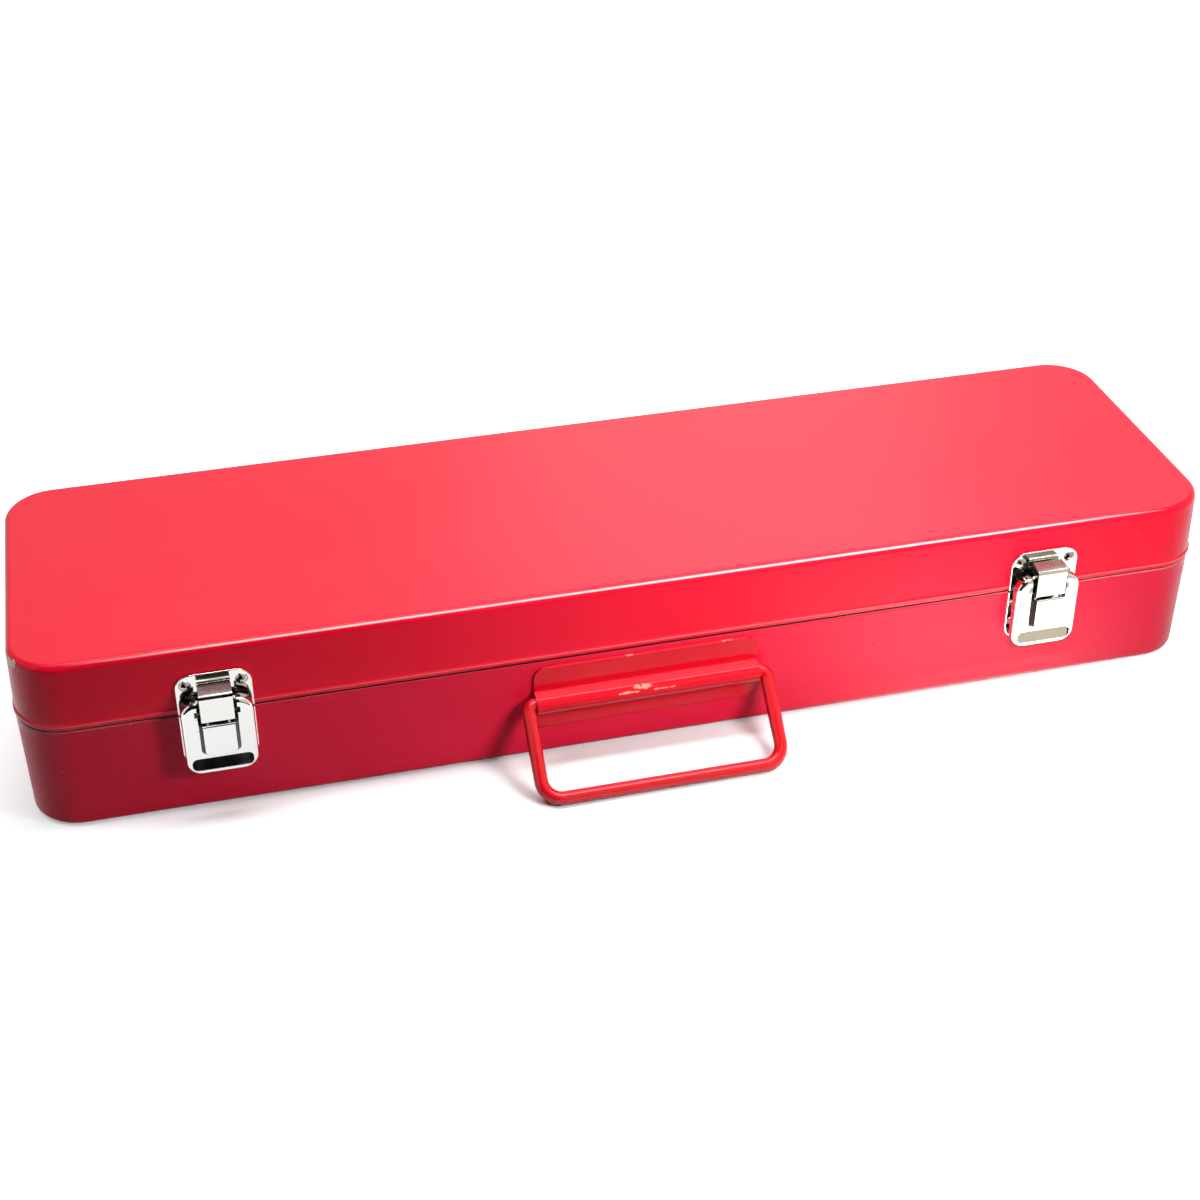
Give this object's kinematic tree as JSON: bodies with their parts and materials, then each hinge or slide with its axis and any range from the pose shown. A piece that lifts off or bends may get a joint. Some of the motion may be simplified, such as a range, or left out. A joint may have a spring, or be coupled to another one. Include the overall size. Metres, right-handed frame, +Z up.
{
  "type": "toolbox with tray",
  "caption": "Long low pressed-steel toolbox with a hinged lid, toggle latches, a folding wire handle on the front and a lift-out divided tray inside.",
  "frame": {"origin": "centre of the case's flat underside, where it stands on the bench", "axes": "+X along the length of the case to the right, +Y from the latch side to the hinge side, +Z up"},
  "size_m": [0.481, 0.1702, 0.0752],
  "materials": {
    "red_enamel": "semi-gloss stoved enamel on pressed steel",
    "saddle_enamel": "semi-gloss stoved enamel, worn on the fold",
    "wire_enamel": "semi-gloss stoved enamel on steel wire",
    "hinge_enamel": "semi-gloss stoved enamel over spot welds",
    "tray_enamel": "semi-gloss stoved enamel on pressed steel",
    "bright_nickel": "bright nickel plate on pressed steel",
    "hinge_steel": "plain zinc-plated steel wire"
  },
  "bodies": {
    "base": {"base_pan": "red_enamel", "handle_saddle": "saddle_enamel", "latch_plate_left": "bright_nickel", "latch_plate_right": "bright_nickel", "latch_rivets_left": "bright_nickel", "latch_rivets_right": "bright_nickel", "lever_pin_left": "bright_nickel", "lever_pin_right": "bright_nickel", "hinge_base_leaf_left": "hinge_enamel", "hinge_base_leaf_right": "hinge_enamel", "hinge_pin_left": "hinge_steel", "hinge_pin_right": "hinge_steel", "tray_ledge_left": "red_enamel", "tray_ledge_right": "red_enamel"},
    "lid": {"lid_pan": "red_enamel", "catch_plate_left": "bright_nickel", "catch_plate_right": "bright_nickel", "catch_rivets_left": "bright_nickel", "catch_rivets_right": "bright_nickel", "hinge_lid_leaf_left": "hinge_enamel", "hinge_lid_leaf_right": "hinge_enamel"},
    "lever_left": {"latch_lever_left": "bright_nickel", "claw_pin_left": "bright_nickel"},
    "lever_right": {"latch_lever_right": "bright_nickel", "claw_pin_right": "bright_nickel"},
    "claw_left": {"latch_claw_left": "bright_nickel"},
    "claw_right": {"latch_claw_right": "bright_nickel"},
    "handle": {"carry_handle": "wire_enamel"},
    "tray": {"tray_pan": "tray_enamel", "tray_divider_long": "tray_enamel", "tray_dividers_cross": "tray_enamel", "tray_grip_left": "tray_enamel", "tray_grip_right": "tray_enamel"}
  },
  "joints": [
    {"name": "lid_hinge", "type": "hinge", "parent": "base", "child": "lid", "pos_m": [0, 0.0684, 0.0462], "axis": [-1, 0, 0], "range_deg": [0, 180]},
    {"name": "lever_left_hinge", "type": "hinge", "parent": "base", "child": "lever_left", "pos_m": [-0.1665, -0.0698, 0.0523], "axis": [-1, 0, 0], "range_deg": [0, 90]},
    {"name": "lever_right_hinge", "type": "hinge", "parent": "base", "child": "lever_right", "pos_m": [0.1665, -0.0698, 0.0523], "axis": [-1, 0, 0], "range_deg": [0, 90]},
    {"name": "claw_left_pivot", "type": "hinge", "parent": "lever_left", "child": "claw_left", "pos_m": [-0.1665, -0.0716, 0.049], "axis": [-1, 0, 0], "range_deg": [-90, 0]},
    {"name": "claw_right_pivot", "type": "hinge", "parent": "lever_right", "child": "claw_right", "pos_m": [0.1665, -0.0716, 0.049], "axis": [-1, 0, 0], "range_deg": [-90, 0]},
    {"name": "handle_swing", "type": "hinge", "parent": "base", "child": "handle", "pos_m": [0, -0.0689, 0.0282], "axis": [-1, 0, 0], "range_deg": [-40, 130]},
    {"name": "tray_lift", "type": "slide", "parent": "base", "child": "tray", "axis": [0, 0, 1], "range_m": [0, 0.024]}
  ],
  "couplings": [
    {"joint": "claw_left_pivot", "follows": "lever_left_hinge", "ratio": -1},
    {"joint": "claw_right_pivot", "follows": "lever_right_hinge", "ratio": -1}
  ]
}
